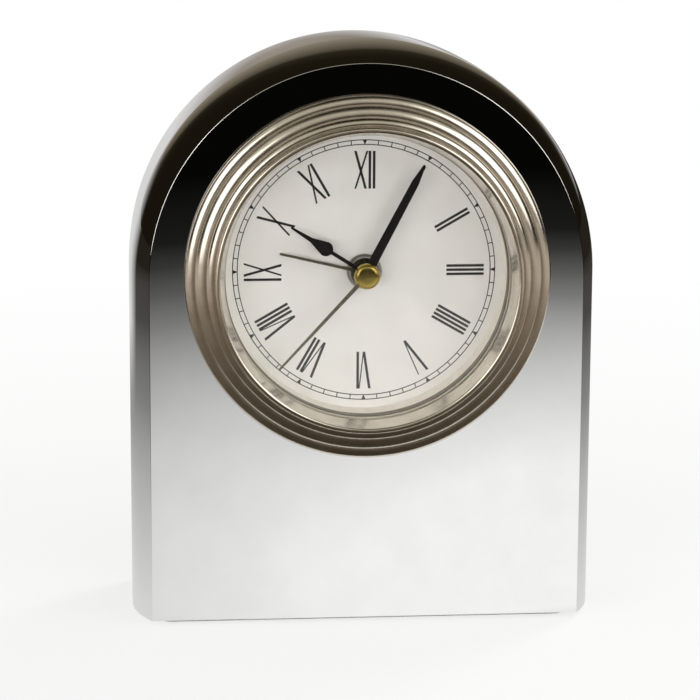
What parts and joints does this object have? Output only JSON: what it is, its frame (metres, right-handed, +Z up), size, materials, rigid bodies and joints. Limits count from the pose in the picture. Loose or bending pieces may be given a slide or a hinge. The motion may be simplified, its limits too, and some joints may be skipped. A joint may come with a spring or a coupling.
{
  "type": "beehive shelf clock",
  "caption": "Arch-topped polished metal shelf clock with a round beaded-bezel quartz alarm insert, Roman dial and setting knobs at the back.",
  "frame": {"origin": "on the resting plane under the felt, at the middle of the overall width and depth", "axes": "+Z up, the dial faces -Y, +X to the right of someone who reads the dial"},
  "size_m": [0.0906, 0.0399, 0.1131],
  "materials": {
    "polished_case": "mirror-polished plate on a cast metal case",
    "rear_plate": "satin dark grey enamel",
    "steel_screw": "turned and slotted",
    "felt": "dark green wool felt",
    "bezel_metal": "polished pale nickel with a warm tone",
    "lens_glass": "clear domed mineral glass",
    "black_rubber": "matt",
    "reflector": "cream satin",
    "dial_enamel": "matt off-white print ground",
    "cup_plastic": "fine moulded texture",
    "movement_plastic": "grey engineering plastic",
    "nut_metal": "turned",
    "wheel_plastic": "natural acetal",
    "brass": "turned and lacquered",
    "hand_black": "black lacquer",
    "hand_bronze": "thin dark gilt",
    "magnet": "sintered",
    "cell_steel": "plated can",
    "board": "green resist",
    "chip_resin": "black resin",
    "crystal_can": "drawn can",
    "core_iron": "soft iron sheet",
    "copper": "enamelled copper wire",
    "knob_plastic": "fluted, satin",
    "switch_plastic": "ribbed, satin"
  },
  "bodies": {
    "case": {"case_shell": "polished_case", "back_plate": "rear_plate", "back_plate_screws": "steel_screw", "base_felt": "felt", "bezel": "bezel_metal", "lens": "lens_glass", "lens_gasket": "black_rubber", "reflector_ring": "reflector", "dial": "dial_enamel", "insert_cup": "cup_plastic", "grip_rings": "black_rubber", "front_plate": "movement_plastic", "centre_nut": "nut_metal", "train_bridge": "movement_plastic", "bridge_screws": "steel_screw", "rear_cover": "cup_plastic", "rear_cover_screws": "steel_screw", "button_cell": "cell_steel", "cell_contact_minus": "brass", "cell_contact_plus": "brass", "buzzer": "chip_resin", "circuit_board": "board", "timing_chip": "chip_resin", "quartz_crystal": "crystal_can", "stator": "core_iron", "coil_core": "core_iron", "coil_bobbin": "switch_plastic", "coil_winding": "copper"},
    "rotor": {"rotor_arbor": "wheel_plastic", "rotor_magnet": "magnet"},
    "fifth_train": {"fifth_wheel": "wheel_plastic"},
    "seconds": {"seconds_wheel": "wheel_plastic", "second_hand": "hand_bronze", "second_hand_cap": "brass"},
    "third_train": {"third_wheel": "wheel_plastic"},
    "centre_train": {"centre_wheel": "wheel_plastic"},
    "minutes": {"minute_pipe": "brass", "clutch_spring": "brass", "minute_hand": "hand_black"},
    "time_setting": {"minute_wheel": "wheel_plastic", "time_knob": "knob_plastic"},
    "hours": {"hour_wheel": "wheel_plastic", "hour_hand": "hand_black"},
    "alarm": {"alarm_wheel": "wheel_plastic", "alarm_hand": "hand_bronze"},
    "alarm_setting": {"alarm_setting_arbor": "wheel_plastic", "alarm_knob": "knob_plastic"},
    "switch_slide": {"alarm_switch": "switch_plastic"},
    "cell_door": {"battery_cap": "knob_plastic"}
  },
  "joints": [
    {"name": "second_hand_turn", "type": "hinge", "parent": "case", "child": "seconds", "pos_m": [0, 0, 0.0686], "axis": [0, 1, 0], "continuous": true},
    {"name": "fifth_wheel_turn", "type": "hinge", "parent": "case", "child": "fifth_train", "pos_m": [0, 0, 0.0596], "axis": [0, 1, 0], "continuous": true},
    {"name": "rotor_turn", "type": "hinge", "parent": "case", "child": "rotor", "pos_m": [0.00728, 0, 0.0554], "axis": [0, 1, 0], "continuous": true},
    {"name": "third_wheel_turn", "type": "hinge", "parent": "case", "child": "third_train", "pos_m": [0, 0, 0.0771], "axis": [0, 1, 0], "continuous": true},
    {"name": "centre_wheel_turn", "type": "hinge", "parent": "case", "child": "centre_train", "pos_m": [0, 0, 0.0686], "axis": [0, 1, 0], "continuous": true},
    {"name": "minute_hand_turn", "type": "hinge", "parent": "case", "child": "minutes", "pos_m": [0, 0, 0.0686], "axis": [0, 1, 0], "continuous": true},
    {"name": "time_knob_turn", "type": "hinge", "parent": "case", "child": "time_setting", "pos_m": [-0.009, 0, 0.0686], "axis": [0, 1, 0], "continuous": true},
    {"name": "hour_hand_turn", "type": "hinge", "parent": "case", "child": "hours", "pos_m": [0, 0, 0.0686], "axis": [0, 1, 0], "continuous": true},
    {"name": "alarm_hand_turn", "type": "hinge", "parent": "case", "child": "alarm", "pos_m": [0, 0, 0.0686], "axis": [0, 1, 0], "continuous": true},
    {"name": "alarm_knob_turn", "type": "hinge", "parent": "case", "child": "alarm_setting", "pos_m": [0.009, 0, 0.0686], "axis": [0, 1, 0], "continuous": true},
    {"name": "alarm_switch_slide", "type": "slide", "parent": "case", "child": "switch_slide", "axis": [1, 0, 0], "range_m": [0, 0.004]},
    {"name": "battery_cap_turn", "type": "hinge", "parent": "case", "child": "cell_door", "pos_m": [-0.01258, 0, 0.08257], "axis": [0, 1, 0], "range_deg": [0, 60]}
  ],
  "couplings": [
    {"joint": "fifth_wheel_turn", "follows": "second_hand_turn", "ratio": -5},
    {"joint": "rotor_turn", "follows": "second_hand_turn", "ratio": 30},
    {"joint": "third_wheel_turn", "follows": "second_hand_turn", "ratio": -0.13333},
    {"joint": "centre_wheel_turn", "follows": "second_hand_turn", "ratio": 0.016667},
    {"joint": "time_knob_turn", "follows": "minute_hand_turn", "ratio": -0.33333},
    {"joint": "hour_hand_turn", "follows": "minute_hand_turn", "ratio": 0.083333},
    {"joint": "alarm_knob_turn", "follows": "alarm_hand_turn", "ratio": -4}
  ]
}
